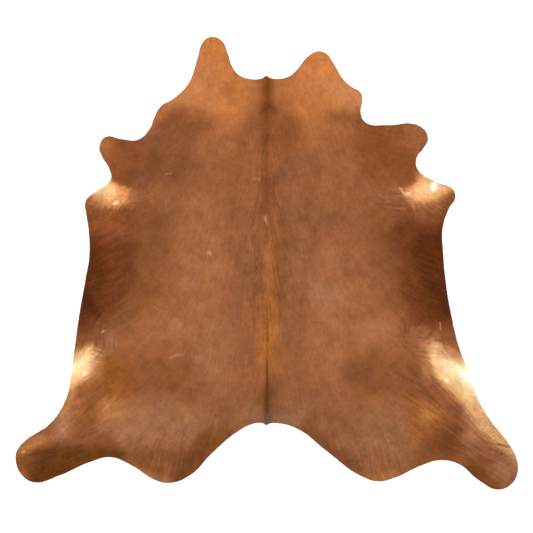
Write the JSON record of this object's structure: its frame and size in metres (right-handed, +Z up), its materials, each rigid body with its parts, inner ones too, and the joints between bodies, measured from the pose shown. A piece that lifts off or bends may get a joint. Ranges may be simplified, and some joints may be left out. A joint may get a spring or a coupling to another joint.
{
  "type": "cowhide rug",
  "caption": "Whole cowhide with short brown hair, cut along its natural outline of neck, legs and rump and laid flat as a floor rug.",
  "frame": {"origin": "under the middle of the hide's bounding box, on the surface that it lies on", "axes": "+X to the right of the spine seen from above, +Y towards the neck, +Z up"},
  "size_m": [2.207, 1.988, 0.0146],
  "materials": {
    "coat": "short glossy brown hair over tanned leather"
  },
  "bodies": {
    "root": {"hide": "coat"}
  },
  "joints": []
}
